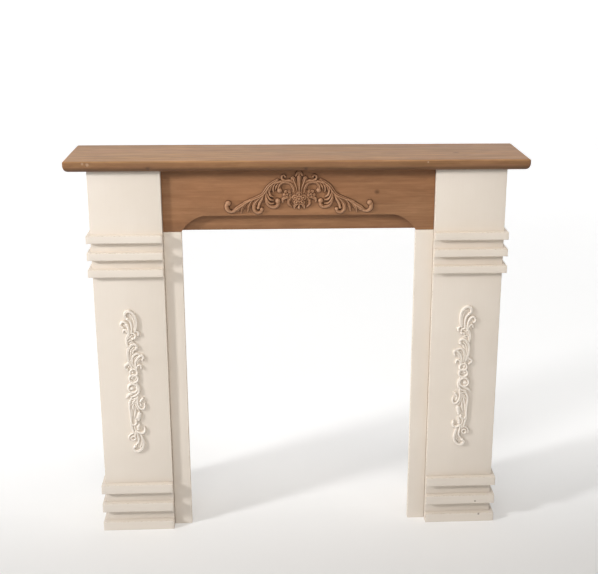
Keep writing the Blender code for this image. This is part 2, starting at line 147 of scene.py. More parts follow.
# The studio's floor is flat to SWEEP_FROM metres from the middle, where it sweeps up into a backdrop
SWEEP_FROM = 4.5
SWEEP_ROUND = 1.5
SWEEP_STEPS = 9
BACKDROP_TOP = 6.0
STAGE_STEPS = 72

# The floor glows a little, more behind the piece than in front of it, in metres along Y. In front and at
# the sides it glows again from RIM_FROM metres out, and its backdrop up to RIM_TOP. That rim is at its
# full glow up to Y = RIM_FULL and is gone at Y = RIM_GONE, so that it never stands behind the piece. The
# rim and the backdrop above it have the dark colour FLOOR_FAR, to send little of the lamps' light back.
GLOW_FROM = -0.6
GLOW_TO = 0.8
GLOW_FRONT = 0.05
GLOW_BACK = 0.55
RIM_FROM = 3.0
RIM_TOP = 2.0
RIM_FADE = 0.5
RIM_FULL = 0.5
RIM_GONE = 2.5
GLOW_RIM = 0.38

# Lights: place, target, diameter, power in watts and colour
LIGHTS = {
    "key_left": ((-4.6, -2.3, 2.7), (0, 0, 0.7), 0.8, 183, (1.0, 1.0, 1.0)),
    "soft_front": ((-0.3, -2.2, 2.6), (0, 0, 0.8), 1.6, 14, (1.04, 1.0, 0.98)),
    "soft_right": ((1.8, -2.2, 2.3), (0, 0, 0.7), 1.2, 9, (1.08, 1.0, 0.9)),
    "ceiling": ((0, -1.3, 2.6), (0, -1.3, 0), 2.6, 18, (1.06, 1.0, 0.9)),
}


def node(tree, kind, links=None, **settings):
    """Add a shader node, set its properties, and link or fill its inputs by name or number."""
    made = tree.nodes.new("ShaderNode" + kind)
    for key, value in settings.items():
        setattr(made, key, value)
    for key, value in (links or {}).items():
        if isinstance(value, bpy.types.NodeSocket):
            tree.links.new(value, made.inputs[key])
        else:
            made.inputs[key].default_value = value
    return made


def new_material(name):
    material = bpy.data.materials.new(name)
    material.use_nodes = True
    material.node_tree.nodes.clear()
    return material, material.node_tree


def stretched_noise(tree, place, scale, detail, roughness=0.55, distortion=0.0):
    """Noise that is stretched by a different scale along each axis."""
    mapping = node(tree, "Mapping", {"Vector": place, "Scale": scale})
    made = node(tree, "TexNoise", {"Vector": mapping.outputs[0], "Scale": 1.0, "Detail": detail,
                                   "Roughness": roughness, "Distortion": distortion})
    return made.outputs["Fac"]


def remap(tree, value, low, high, to_low=0.0, to_high=1.0):
    return node(tree, "MapRange", {"Value": value, "From Min": low, "From Max": high,
                                   "To Min": to_low, "To Max": to_high}).outputs[0]


def maths(tree, operation, a, b):
    return node(tree, "Math", {0: a, 1: b}, operation=operation).outputs[0]


def scaled(colour, *factors):
    """The colour times one factor, or times one for each channel."""
    return tuple(c * f for c, f in zip(colour, factors * 3 if len(factors) == 1 else factors))


def blended(tree, share, a, b, blend="MIX"):
    """Mix two colours by a share; a and b are colours or sockets."""
    made = node(tree, "Mix", {0: share}, data_type="RGBA", blend_type=blend)
    for socket, value in ((6, a), (7, b)):
        if isinstance(value, bpy.types.NodeSocket):
            tree.links.new(value, made.inputs[socket])
        else:
            made.inputs[socket].default_value = (*value, 1.0)
    return made.outputs[2]


def spots(tree, place, centres):
    """A mask of soft round spots; each centre is a point and a radius in metres."""
    total = None
    for centre, radius in centres:
        away = node(tree, "VectorMath", {0: place, 1: centre}, operation="DISTANCE").outputs["Value"]
        spot = remap(tree, away, 0.3 * radius, radius, 1.0, 0.0)
        total = spot if total is None else maths(tree, "MAXIMUM", total, spot)
    return total


def attribute(tree, name):
    return node(tree, "Attribute", attribute_name=name).outputs["Fac"]


def timber(name, light, dark, knots=(), gloss=0.50, upright=1.0, nicks=(), stains=(), mottle=0.4):
    """Stained softwood with its grain along X, paler on rubbed edges, with a painted highlight on carved
    crests and painted shade in the hollows.

    upright says how much darker the upright faces are painted than the level ones, as painted shade, and
    with upright under one the downward faces get painted shade as well; mottle says how blotchy the stain
    is. Nicks show bare wood and stains are dark.
    """
    material, tree = new_material(name)
    place = node(tree, "TexCoord").outputs["Object"]
    wander = stretched_noise(tree, place, (1.6, 7.0, 7.0), 2.0)
    bands = stretched_noise(tree, place, (1.3, 34.0, 34.0), 3.0, 0.6, 0.6)
    lines = stretched_noise(tree, place, (7.0, 300.0, 300.0), 3.0, 0.6)
    flecks = stretched_noise(tree, place, (45.0, 900.0, 900.0), 2.0)
    patches = stretched_noise(tree, place, (2.5, 6.0, 5.0), 3.0)
    grain = maths(tree, "ADD", maths(tree, "MULTIPLY", bands, 0.52), maths(tree, "MULTIPLY", lines, 0.30))
    grain = maths(tree, "ADD", grain, maths(tree, "MULTIPLY", wander, 0.18))
    tone = remap(tree, grain, 0.36, 0.66)
    colour = blended(tree, tone, dark, light)
    reddish = scaled(light, 1.06, 0.93, 0.85)
    colour = blended(tree, remap(tree, patches, 0.45, 0.7, 0.0, 0.55), colour, reddish)
    blotch = stretched_noise(tree, place, (11.0, 60.0, 60.0), 5.0, 0.65, 0.4)
    colour = blended(tree, remap(tree, blotch, 0.40, 0.66, 0.0, 0.55 * mottle), colour, scaled(dark, 0.62))
    colour = blended(tree, remap(tree, blotch, 0.50, 0.30, 0.0, 0.45 * mottle), colour, scaled(light, 1.16))
    if knots:
        knot = spots(tree, place, knots)
        ringed = maths(tree, "MULTIPLY", knot, remap(tree, lines, 0.3, 0.7, 0.4, 0.9))
        colour = blended(tree, ringed, colour, scaled(dark, 0.55))
    colour = blended(tree, remap(tree, flecks, 0.62, 0.75, 0.0, 0.35), colour, scaled(dark, 0.75))
    rubbed = maths(tree, "MULTIPLY", attribute(tree, "edge"), remap(tree, bands, 0.35, 0.65, 0.1, 0.5))
    colour = blended(tree, rubbed, colour, scaled(light, 1.25))
    # Painted highlight on carved crests, and painted shade in carved hollows
    colour = blended(tree, maths(tree, "MULTIPLY", attribute(tree, "crest_painted_highlight"), 0.45), colour, PAINTED_CREST_HIGHLIGHT)
    colour = blended(tree, maths(tree, "MULTIPLY", attribute(tree, "hollow_painted_shade"), 0.85), colour, PAINTED_HOLLOW_SHADE)
    if upright < 1.0:
        facing = node(tree, "SeparateXYZ", {0: node(tree, "NewGeometry").outputs["Normal"]}).outputs["Z"]
        streak = stretched_noise(tree, place, (5.0, 90.0, 420.0), 3.0, 0.6, 0.3)
        colour = blended(tree, remap(tree, streak, 0.50, 0.66, 0.0, 0.5), colour, RED_STREAK)
        colour = blended(tree, remap(tree, streak, 0.46, 0.32, 0.0, 0.5), colour, scaled(dark, 0.7))
        # Painted shade: downward faces are darkened, and upright faces are darker than the level top
        colour = blended(tree, remap(tree, facing, -0.15, -0.6), colour, UNDERSIDE_PAINTED_SHADE, "MULTIPLY")
        colour = blended(tree, remap(tree, facing, 0.75, 0.25), colour,
                         (upright, 0.98 * upright, 1.02 * upright), "MULTIPLY")
    if stains:
        colour = blended(tree, maths(tree, "MULTIPLY", spots(tree, place, stains), 0.7), colour, WOOD_STAIN)
    if nicks:
        colour = blended(tree, maths(tree, "MULTIPLY", spots(tree, place, nicks), 0.5), colour, BARE_WOOD)
    rough = remap(tree, lines, 0.3, 0.7, gloss - 0.08, gloss + 0.12)
    relief = maths(tree, "ADD", maths(tree, "MULTIPLY", lines, 0.7), maths(tree, "MULTIPLY", bands, 0.3))
    bump = node(tree, "Bump", {"Height": relief, "Strength": 0.35, "Distance": 0.0006})
    shader = node(tree, "BsdfPrincipled", {"Base Color": colour, "Roughness": rough, "Normal": bump.outputs[0],
                                           "Specular IOR Level": 0.35})
    node(tree, "OutputMaterial", {"Surface": shader.outputs[0]})
    return material


def cream_paint(name, along, marks=()):
    """Brushed cream paint, the strokes running along the given axis, thin and grubby at the edges."""
    material, tree = new_material(name)
    place = node(tree, "TexCoord").outputs["Object"]
    brush_scale = [420.0, 420.0, 420.0]
    brush_scale[along] = 7.0
    brush = stretched_noise(tree, place, tuple(brush_scale), 3.0, 0.6)
    cloud = stretched_noise(tree, place, (5.0, 5.0, 5.0), 4.0)
    speck = stretched_noise(tree, place, (160.0, 160.0, 160.0), 3.0)
    shade = scaled(CREAM, 0.93, 0.91, 0.88)
    colour = blended(tree, remap(tree, cloud, 0.35, 0.7, 0.0, 0.6), CREAM, shade)
    colour = blended(tree, remap(tree, brush, 0.35, 0.7, 0.0, 0.18), colour, shade)
    low = node(tree, "SeparateXYZ", {0: place}).outputs["Z"]
    colour = blended(tree, remap(tree, low, FOOT_TOP, FOOT_LOW, 0.0, 0.8), colour, scaled(CREAM, FOOT_DIM))
    grime = maths(tree, "MULTIPLY", attribute(tree, "edge"), remap(tree, speck, 0.46, 0.66, 0.06, 0.55))
    colour = blended(tree, grime, colour, CREAM_DIRT_AND_PAINTED_SHADE)
    # Painted highlight on the carvings' crests, and painted shade in their hollows
    colour = blended(tree, maths(tree, "MULTIPLY", attribute(tree, "crest_painted_highlight"), 0.7), colour, CREAM_PAINTED_HIGHLIGHT)
    colour = blended(tree, maths(tree, "MULTIPLY", attribute(tree, "hollow_painted_shade"), 0.12), colour, CREAM_DIRT_AND_PAINTED_SHADE)
    if marks:
        colour = blended(tree, maths(tree, "MULTIPLY", spots(tree, place, marks), 0.75), colour, PAINT_MARK)
    rough = remap(tree, cloud, 0.3, 0.7, 0.46, 0.60)
    relief = maths(tree, "ADD", maths(tree, "MULTIPLY", brush, 0.6), maths(tree, "MULTIPLY", speck, 0.4))
    bump = node(tree, "Bump", {"Height": relief, "Strength": 0.25, "Distance": 0.0004})
    shader = node(tree, "BsdfPrincipled", {"Base Color": colour, "Roughness": rough, "Normal": bump.outputs[0],
                                           "Specular IOR Level": 0.4})
    node(tree, "OutputMaterial", {"Surface": shader.outputs[0]})
    return material


def dress(cad_node, mesh, material):
    """Show this mesh in place of the CAD node, in the same place and riding on the same body."""
    mesh.materials.append(material)
    piece = bpy.data.objects.new(cad_node + "_finished", mesh)
    bpy.context.scene.collection.objects.link(piece)
    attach(piece, "root")
    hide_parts(cad_node)


def write_attribute(mesh, name, values):
    mesh.attributes.new(name, "FLOAT", "POINT").data.foreach_set("value", np.asarray(values, np.float32))


def wear(along, corner, seed):
    """How much rounder an edge is at a place along it: slow wear, and a few small knocks."""
    slow = noise.noise(Vector((along * 9.0, corner * 5.3, seed)))
    quick = noise.noise(Vector((along * 55.0, corner * 3.1, seed + 40.0)))
    return EDGE_WEAR * max(0.0, 0.35 + 0.9 * slow) + 2.2 * EDGE_WEAR * max(0.0, quick - 0.42)


def worn_bar(cad_node, radius=EDGE_ROUND):
    """A straight board in its CAD node's box, with rounded, unevenly worn edges, as a closed mesh."""
    low, high = (np.array(corner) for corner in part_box(cad_node))
    size = high - low
    long_axis = int(size.argmax())
    a_axis, b_axis = [axis for axis in range(3) if axis != long_axis]
    seed = sum(ord(letter) * (k + 1) for k, letter in enumerate(cad_node)) % 97
    centre, half = (low + high) / 2, size / 2
    inner = half[long_axis] - radius
    count = max(4, round(2 * inner / STATION))
    ends = [(inner + radius * math.sin(t), radius * (1 - math.cos(t)))
            for t in (math.radians(degrees) for degrees in (30, 60, 90))]
    stations = [(-place, inset) for place, inset in reversed(ends)]
    stations += [(place, 0.0) for place in np.linspace(-inner, inner, count + 1)]
    stations += ends
    angles = [math.radians(22.5 * k) for k in range(5)]
    verts, edge = [], []
    for place, inset in stations:
        for corner, (sa, sb) in enumerate(((1, 1), (-1, 1), (-1, -1), (1, -1))):
            extra = wear(place, corner, seed)
            r = min(radius + extra, 0.45 * min(half[a_axis], half[b_axis]))
            for angle in angles:
                turn = angle + math.radians(90) * corner
                point = np.zeros(3)
                point[long_axis] = place
                point[a_axis] = sa * (half[a_axis] - r) + r * math.cos(turn)
                point[b_axis] = sb * (half[b_axis] - r) + r * math.sin(turn)
                point[a_axis] -= math.copysign(min(inset, abs(point[a_axis])), point[a_axis])
                point[b_axis] -= math.copysign(min(inset, abs(point[b_axis])), point[b_axis])
                verts.append(tuple(centre + point))
                edge.append(math.sin(2 * angle) if inset == 0 else 1.0)
    loop = 4 * len(angles)
    faces = []
    for s in range(len(stations) - 1):
        for k in range(loop):
            after = (k + 1) % loop
            faces.append((s * loop + k, s * loop + after, (s + 1) * loop + after, (s + 1) * loop + k))
    faces.append(tuple(range(loop)))
    faces.append(tuple(range((len(stations) - 1) * loop, len(stations) * loop)))
    return finished_mesh(cad_node, verts, faces, {"edge": edge})


def finished_mesh(name, verts, faces, attributes, sharp=50):
    """A smooth-shaded closed mesh with its faces outwards and the given vertex values.

    Edges that turn by more than sharp degrees stay sharp.
    """
    mesh = bpy.data.meshes.new(name)
    mesh.from_pydata(verts, [], faces)
    bm = bmesh.new()
    bm.from_mesh(mesh)
    bmesh.ops.recalc_face_normals(bm, faces=bm.faces[:])
    if bm.calc_volume(signed=True) < 0:
        bmesh.ops.reverse_faces(bm, faces=bm.faces[:])
    bm.to_mesh(mesh)
    bm.free()
    for key, values in attributes.items():
        write_attribute(mesh, key, values)
    mesh.shade_smooth()
    mesh.set_sharp_from_angle(angle=math.radians(sharp))
    return mesh


def shelf_mesh():
    """The moulded shelf: rounded along its front and both ends, square at the back, with knocks on its nose."""
    low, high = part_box("shelf")
    profile = [(TOP_ROUND * (1 - math.cos(t)), high.z - TOP_ROUND * (1 - math.sin(t)))
               for t in (math.radians(90 - 15 * k) for k in range(7))]
    start = low.z + UNDER_ROUND_HEIGHT
    profile += [(0.0, start + 0.5 * (high.z - TOP_ROUND - start))]
    profile += [(UNDER_ROUND_IN * (1 - math.cos(t)), start - UNDER_ROUND_HEIGHT * math.sin(t))
                for t in (math.radians(7.5 * k) for k in range(13))]
    verts, edge = [], []
    for inset, z in profile:
        x, y = high.x - inset, low.y + inset
        radius = max(CORNER_ROUND - inset, CORNER_LEAST)
        row = [(x, high.y - share * (high.y - y - radius))
               for share in np.linspace(0, 1, SHELF_END_STATIONS, endpoint=False)]
        row += [(x - radius + radius * math.cos(t), y + radius + radius * math.sin(t))
                for t in (math.radians(-90 * k / CORNER_STEPS) for k in range(CORNER_STEPS + 1))]
        row += [(share * (x - radius), y) for share in np.linspace(1, -1, SHELF_FRONT_STATIONS + 1)[1:-1]]
        row += [(radius - x - radius * math.cos(t), y + radius + radius * math.sin(t))
                for t in (math.radians(-90 + 90 * k / CORNER_STEPS) for k in range(CORNER_STEPS + 1))]
        row += [(-x, y + radius + share * (high.y - y - radius))
                for share in np.linspace(0, 1, SHELF_END_STATIONS + 1)[1:]]
        nose = math.sin(math.pi * min(1.0, max(0.0, (high.z - z) / (high.z - low.z))))
        for px, py in row:
            dent = SHELF_WANDER * max(0.0, noise.noise(Vector((px * 14, py * 14, z * 30))) + 0.2) * nose
            for (kx, kz), reach, depth in KNOCKS:
                away = math.hypot((px - kx) / 1.5, z - kz) / reach
                if py < 0 and away < 1:
                    dent += depth * (1 - away * away) ** 2
            inward = Vector((-math.copysign(1.0, px) if abs(px) > x - 0.002 and py > y + 0.002 else 0.0,
                             1.0 if py < y + 0.004 else 0.0))
            verts.append((px + dent * inward.x, py + dent * inward.y, z))
            edge.append(0.25 if 0.0 < high.z - z < TOP_ROUND else min(1.0, dent * 400))
    columns = len(row)
    faces = []
    for level in range(len(profile) - 1):
        for k in range(columns):
            after = (k + 1) % columns
            faces.append((level * columns + k, level * columns + after, (level + 1) * columns + after,
                          (level + 1) * columns + k))
    faces.append(tuple(range(columns)))
    faces.append(tuple(range((len(profile) - 1) * columns, len(profile) * columns)))
    return finished_mesh("shelf", verts, faces, {"edge": edge}, 40)


def frieze_mesh():
    """The front board with its flat arch, its outline softly rounded at the front and the back."""
    low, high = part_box("frieze_board")
    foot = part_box("right_slip")[0].x
    chord = math.atan2(ARCH_RISE, ARCH_RUN)
    radius = math.hypot(ARCH_RUN, ARCH_RISE) / (2 * math.sin(ARCH_TURN / 2))
    first = chord + ARCH_TURN / 2
    half = [(high.x, high.z), (high.x, low.z)]
    for step in range(ARCH_STEPS + 1):
        angle = first - ARCH_TURN * step / ARCH_STEPS
        half.append((foot - radius * (math.sin(first) - math.sin(angle)),
                     low.z + radius * (math.cos(angle) - math.cos(first))))
    outline = half + [(-x, z) for x, z in reversed(half)]
    bm = bmesh.new()
    face = bm.faces.new([bm.verts.new((x, low.y, z)) for x, z in outline])
    deep = bmesh.ops.extrude_face_region(bm, geom=[face])
    for item in deep["geom"]:
        if isinstance(item, bmesh.types.BMVert):
            item.co.y = high.y
    rims = [e for e in bm.edges if abs(e.verts[0].co.y - e.verts[1].co.y) < 1e-6]
    bmesh.ops.bevel(bm, geom=rims, offset=FRIEZE_EDGE, segments=3, affect="EDGES", profile=0.5)
    depths = [min(vert.co.y - low.y, high.y - vert.co.y) for vert in bm.verts]
    edge = [1.0 if 1e-5 < depth < 0.9 * FRIEZE_EDGE else 0.0 for depth in depths]
    bm.verts.index_update()
    verts = [tuple(vert.co) for vert in bm.verts]
    faces = [tuple(vert.index for vert in f.verts) for f in bm.faces]
    bm.free()
    return finished_mesh("frieze_board", verts, faces, {"edge": edge}, 40)


def band(path, widths, rise=5.0, bulb=0.0, vein=0.0):
    """One carved band: its centre line, its widths from start to end, its height, the radius of the
    knob at its end, and its vein, which says how deep its grooves are."""
    return {"path": path, "widths": widths, "rise": rise, "bulb": bulb, "vein": vein}


def ring(centre, radius, width, rise=6.0, start=0, sweep=360):
    """A round band, or a part of one."""
    angles = [math.radians(start + sweep * k / 12) for k in range(13)]
    path = [(centre[0] + radius * math.cos(a), centre[1] + radius * math.sin(a)) for a in angles]
    return band(path, (width, width), rise)


def knob(centre, radius, rise):
    return band([centre, (centre[0] + 0.1, centre[1])], (2 * radius, 2 * radius), rise)


def flower(centre, radius, rise, turn=90):
    """Five round petals about a raised eye."""
    petals = []
    for k in range(5):
        angle = math.radians(turn + 72 * k)
        tip = (centre[0] + 0.62 * radius * math.cos(angle), centre[1] + 0.62 * radius * math.sin(angle))
        petals.append(band([centre, tip], (0.35 * radius, 0.9 * radius), rise, vein=0.25))
    return petals + [knob(centre, 0.28 * radius, rise + 1.5)]


def frieze_strokes():
    """The frieze ornament's right half, measured from the middle, and what stands on its middle line."""
    spine = [
        band([(56, 34), (66, 26), (78, 16), (87, 3), (96, -7), (110, -14), (126, -20), (142, -29)],
             (7, 12, 13, 12, 11, 9, 8), 6.5, 0, 0.3),
        band([(128, -19), (142, -29), (155, -38), (166, -45), (174, -49)], (6, 9, 13, 13, 5), 6.5, 0, 0.2),
        band([(168, -49), (178, -50), (187, -44), (189, -34), (185, -28)], (6, 9, 12, 13), 6.5, 7.6),
        band([(130, -20), (142, -29), (149, -41), (151, -53)], (6, 12, 11, 3), 5.5, 0, 0.35),
        band([(114, -14), (126, -24), (132, -37), (134, -50)], (6, 12, 10, 3), 5.5, 0, 0.35),
        band([(97, -10), (109, -20), (117, -32), (117, -45), (109, -53), (100, -50), (98, -44)],
             (6, 9, 12, 11, 9, 8), 6.5, 5.2, 0.2),
        band([(92, -4), (97, -16), (104, -28), (107, -40)], (4, 7, 9, 8), 6.0, 4.6),
    ]
    volute = [
        band([(14, 2), (15, 14), (22, 24), (35, 28), (47, 25), (53, 16), (51, 6)],
             (5, 8, 9, 9, 10, 12), 6.5, 7.0, 0.25),
        band([(30, 28), (48, 29), (64, 26)], (5, 8, 9), 5.5),
        band([(55, 24), (60, 16), (62, 8)], (4, 6, 3), 5.5),
        band([(60, 26), (66, 18), (68, 9), (67, 2)], (4, 6, 6, 3), 5.5),
        band([(68, 23), (73, 15), (75, 6)], (4, 6, 3), 5.5),
        band([(79, 14), (85, 2), (86, -12), (84, -25), (76, -35), (64, -38), (56, -32), (56, -22)],
             (8, 9, 9, 10, 10, 10, 11), 6.5, 7.0, 0.2),
        band([(78, 12), (78, 2), (75, -7), (68, -11)], (5, 7, 7, 3), 6.5),
        band([(83, -3), (80, -12), (75, -18), (67, -20)], (5, 6, 7, 3), 6.5),
        band([(85, -14), (81, -23), (75, -28), (66, -29)], (5, 6, 6, 3), 6.5),
        band([(16, 28), (25, 31), (36, 31), (44, 36), (45, 43), (39, 46), (36, 42)],
             (8, 9, 8, 7, 5, 4), 5.0, 2.8),
    ]
    leaves = [
        band([(4, -4), (8, 16), (16, 37)], (6, 11, 12), 6.5, 0, 0.3),
        band([(9, -4), (15, 12), (24, 27)], (5, 9, 7), 5.0, 0, 0.3),
        band([(18, -10), (26, -19), (27, -30), (20, -38)], (8, 10, 8, 3), 5.5, 0, 0.3),
        band([(24, -10), (36, -13), (43, -18), (43, -25)], (8, 9, 8, 4), 5.5, 0, 0.25),
        band([(6, -28), (12, -36), (13, -42)], (8, 8, 3), 5.0, 0, 0.3),
    ]
    ground = [
        band([(60, 24), (80, 8), (94, -14), (118, -24), (142, -36)], (12, 20, 18, 18, 10), 1.5),
        band([(28, 0), (36, -10)], (18, 18), 1.5),
        band([(8, 14), (16, -10), (8, -26)], (10, 24, 14), 2.0),
    ]
    middle = [
        band([(0, -6), (0, 18), (0, 41)], (7, 12, 12), 7.5, 0, 0.25),
        band([(-9, 44), (-4, 52), (0, 54), (4, 52), (9, 44)], (4, 8, 9, 8, 4), 5.0),
        band([(0, 36), (0, 50)], (8, 8), 5.0),
        band([(0, -30), (-1, -40)], (5, 5), 5.0, 4.0),
    ]
    rose = flower((0, -16), 19, 8.5) + flower((0, -16), 10.5, 10.0, 54)
    return spine + volute + leaves + ground + flower((31, -4), 11.5, 7.0, 60), middle + rose


def leg_strokes():
    """The left leg's ornament, measured from its middle; the right one is its mirror image."""
    top = [
        band([(10, 148), (13, 160), (14, 174), (12, 187), (6, 198), (-3, 204), (-12, 202), (-15, 194),
              (-13, 187), (-8, 183)], (7, 8, 8, 8, 8, 7), 7.0, 4.2, 0.2),
        band([(7, 152), (9, 165), (8, 178), (4, 190), (-2, 196)], (4, 5, 5, 3), 5.5),
        band([(1, 146), (2, 160), (0, 172), (-5, 181), (-8, 185)], (6, 7, 7, 5), 6.0),
        band([(-6, 142), (-7, 156), (-10, 167), (-16, 174), (-22, 175), (-27, 168), (-26, 162), (-22, 160)],
             (7, 8, 7, 7, 6), 6.5, 3.4),
        band([(-9, 160), (-14, 166), (-19, 165)], (5, 5, 3), 4.5),
        band([(-6, 136), (-10, 146), (-14, 152), (-19, 152), (-21, 146)], (6, 7, 7, 5), 6.0, 2.8),
        band([(9, 148), (15, 147), (19, 143), (19, 137)], (4, 6, 7, 6), 6.0, 3.4),
        band([(-8, 137), (-2, 143), (6, 142), (11, 136), (9, 129)], (5, 6, 6, 6), 5.5, 4.2),
        knob((3, 127), 4.2, 6.5),
        band([(-10, 125), (-5, 131), (2, 136)], (4, 5, 3), 5.0),
        band([(-11, 118), (-5, 122), (1, 121)], (4, 5, 3), 5.0),
        band([(-4, 150), (-7, 140), (-12, 130), (-14, 118), (-12, 105)], (7, 8, 8, 7), 6.5, 0, 0.2),
        band([(-7, 112), (-2, 116), (4, 117)], (3, 5, 3), 4.0),
    ]
    shoulder = [
        band([(-6, 50), (-10, 62), (-12, 76), (-12, 90), (-8, 101), (-1, 109), (7, 111), (13, 106), (12, 100)],
             (7, 8, 8, 8, 7, 6), 6.5, 4.6, 0.2),
        band([(-5, 64), (-6, 80), (-3, 94), (4, 103)], (4, 5, 5, 3), 4.5),
        band([(0, 84), (4, 93), (10, 97)], (4, 5, 3), 4.5),
        band([(2, 46), (-1, 60), (0, 73), (5, 81), (12, 84), (19, 81)], (6, 7, 7, 5), 6.0, 0, 0.2),
        band([(4, 58), (5, 69), (11, 77)], (3, 4, 3), 3.5),
        band([(7, 44), (7, 58), (11, 68), (17, 75), (24, 79), (28, 74), (26, 66)],
             (7, 7, 7, 7, 6), 6.0, 3.8, 0.15),
        band([(12, 55), (15, 65), (20, 70)], (4, 5, 3), 4.0),
        band([(9, 40), (11, 47), (16, 51), (21, 49), (22, 42)], (6, 6, 6, 5), 5.5, 2.8),
        band([(-4, 66), (-9, 60), (-15, 54), (-21, 50), (-21, 43), (-15, 39)], (6, 7, 7, 6, 5), 6.0, 3.2, 0.15),
        knob((-12, 47), 2.8, 4.5),
        band([(-4, 62), (-4, 50), (-3, 42)], (5, 6, 5), 4.5),
    ]
    rings = [
        ring((1, 30), 10.0, 6.0),
        ring((0, 12), 11.5, 7.0),
        ring((-3, -15), 12.5, 7.5, 6.5),
        knob((-2, 31), 4.5, 5.0),
        band([(2, 21), (7, 24), (13, 24)], (4, 5, 4), 5.5),
        knob((-4, 14), 4.8, 5.5),
        band([(2, 8), (6, 11), (7, 16)], (3, 4, 3), 4.0),
        knob((-6, -17), 6.5, 6.5),
        band([(8, -2), (13, -14), (12, -26), (6, -35), (-2, -40), (-9, -41)], (5, 7, 8, 8, 7, 4), 6.0),
        band([(-4, -31), (-11, -33), (-18, -38), (-23, -45)], (6, 8, 7, 3), 6.0, 0, 0.15),
    ]
    middle = [
        band([(8, -40), (7, -56), (10, -69), (16, -77), (23, -77), (27, -69), (26, -61)],
             (6, 7, 8, 8, 7, 5), 6.0),
        band([(15, -55), (18, -51), (23, -45)], (6, 6, 4), 6.5),
        band([(14, -59), (16, -66), (20, -71)], (5, 8, 5), 4.5),
        band([(-8, -44), (-14, -58), (-15, -74), (-13, -92), (-13, -108), (-14, -122), (-12, -132)],
             (6, 7, 7, 7, 7, 6), 6.0, 0, 0.15),
        band([(-12, -117), (-9, -124), (-3, -124), (2, -119), (1, -113)], (5, 6, 7, 6), 6.0, 3.0),
        band([(6, -44), (-1, -47), (-8, -48)], (4, 5, 3), 5.5),
        band([(6, -47), (0, -51), (-7, -56)], (4, 5, 4), 6.0),
        band([(2, -54), (-5, -59), (-11, -65)], (4, 5, 4), 5.5),
        band([(0, -58), (-5, -67), (-4, -79)], (4, 6, 3), 5.0),
        band([(3, -54), (4, -68), (8, -79), (12, -85)], (5, 6, 5, 3), 5.0),
        band([(-6, -68), (-9, -82), (-8, -98)], (4, 5, 4), 4.5),
        band([(0, -70), (0, -86), (-3, -102)], (4, 6, 4), 4.5),
        band([(11, -92), (8, -102)], (13, 15), 7.0),
        knob((8, -109), 4.6, 6.0),
        band([(1, -104), (3, -115), (7, -122)], (4, 5, 4), 4.0),
        band([(9, -124), (5, -132)], (8, 10), 6.0),
        knob((6, -137), 5.0, 6.5),
        band([(-12, -124), (-11, -134), (-8, -144), (-5, -152)], (7, 7, 7, 6), 5.5, 0, 0.15),
        band([(-4, -128), (-3, -138), (-1, -146)], (4, 5, 4), 4.5),
    ]
    foot = [
        band([(0, -142), (7, -147), (14, -150), (21, -147), (24, -139), (22, -132)], (6, 8, 8, 7, 4), 6.5),
        band([(-3, -149), (-10, -150), (-17, -154), (-21, -161), (-20, -169)], (5, 5, 6, 6, 4), 5.5),
        ring((-9, -164), 6.0, 5.5),
        band([(-2, -146), (-3, -155), (-4, -160)], (5, 5, 4), 5.5),
        band([(2, -146), (4, -158), (6, -169), (3, -178), (-2, -184)], (6, 7, 8, 7, 4), 6.5),
        band([(10, -148), (14, -162), (18, -176), (17, -189), (11, -199), (2, -204), (-7, -202), (-10, -195),
              (-5, -189)], (6, 7, 8, 8, 8, 8, 6), 7.0, 4.5, 0.2),
        band([(12, -170), (12, -184), (8, -194)], (4, 5, 3), 4.5),
    ]
    ground = [
        band([(6, 150), (6, 174), (-2, 194)], (10, 16, 12), 1.2),
        band([(-6, 146), (-17, 166)], (12, 12), 1.2),
        band([(4, 146), (-4, 130), (-4, 108)], (16, 16, 14), 1.5),
        band([(-4, 60), (-2, 90), (5, 103)], (12, 16, 12), 1.2),
        band([(4, 50), (15, 70)], (16, 16), 1.2),
        band([(-10, 58), (-14, 48)], (10, 12), 1.2),
        band([(0, 50), (-2, 0), (-2, -40)], (18, 18, 16), 1.5),
        band([(10, -40), (18, -60)], (14, 18), 1.2),
        band([(-2, -42), (-5, -80), (0, -110), (0, -150)], (14, 16, 22, 18), 1.5),
        band([(-8, -156), (-12, -163)], (12, 12), 1.2),
        band([(6, -150), (10, -176), (4, -196)], (12, 16, 12), 1.2),
    ]
    return top + shoulder + rings + middle + foot + ground


def smooth_path(points, spacing=0.7):
    """Points about spacing apart along a smooth curve through the given ones."""
    inner = np.asarray(points, float)
    whole = np.vstack([2 * inner[0] - inner[1], inner, 2 * inner[-1] - inner[-2]])
    spans = []
    for a, b, c, d in zip(whole[:-3], whole[1:-2], whole[2:-1], whole[3:]):
        count = max(2, math.ceil(np.linalg.norm(c - b) / spacing))
        t = np.linspace(0, 1, count, endpoint=False)[:, None]
        cubic = 2 * b + (c - a) * t + (2 * a - 5 * b + 4 * c - d) * t ** 2 + (3 * b - a - 3 * c + d) * t ** 3
        spans.append(cubic / 2)
    return np.vstack(spans + [inner[-1:]])


